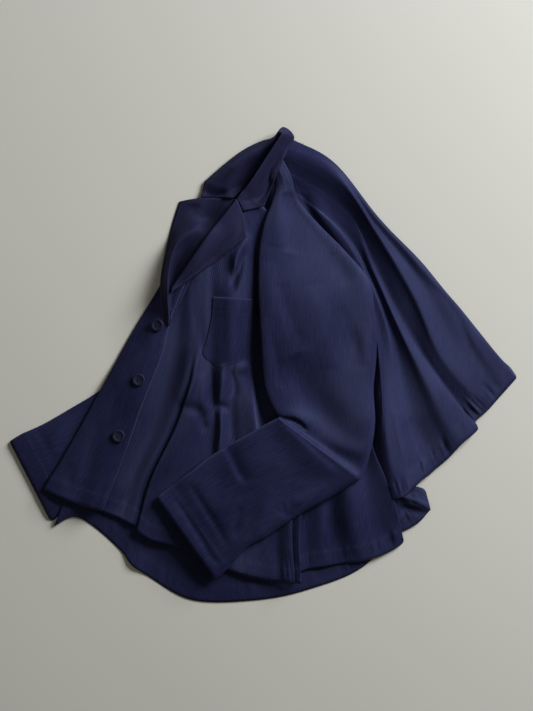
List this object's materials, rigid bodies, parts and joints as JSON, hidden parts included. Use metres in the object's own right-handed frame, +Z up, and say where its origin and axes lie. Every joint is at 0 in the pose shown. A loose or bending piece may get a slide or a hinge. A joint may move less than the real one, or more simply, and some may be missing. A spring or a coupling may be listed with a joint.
{
  "type": "swing jacket",
  "caption": "Buttoned cotton swing jacket with notched collar, patch pocket and raglan sleeves, lying flat on its side and back with the upper sleeve bent across it.",
  "frame": {"origin": "on the surface the jacket lies on, under the middle of its outline", "axes": "+Z up from that surface, +Y towards the collar, +X towards the flared back hem"},
  "size_m": [0.763, 0.7142, 0.0344],
  "materials": {
    "drill": "matt woven cotton drill, navy",
    "button": "satin, tone on tone with the cloth"
  },
  "bodies": {
    "root": {"back": "drill", "front_left": "drill", "front_right": "drill", "sleeve_left": "drill", "sleeve_right": "drill", "collar": "drill", "facing_left": "drill", "facing_right": "drill", "pocket": "drill", "button_1": "button", "button_2": "button", "button_3": "button"}
  },
  "joints": []
}
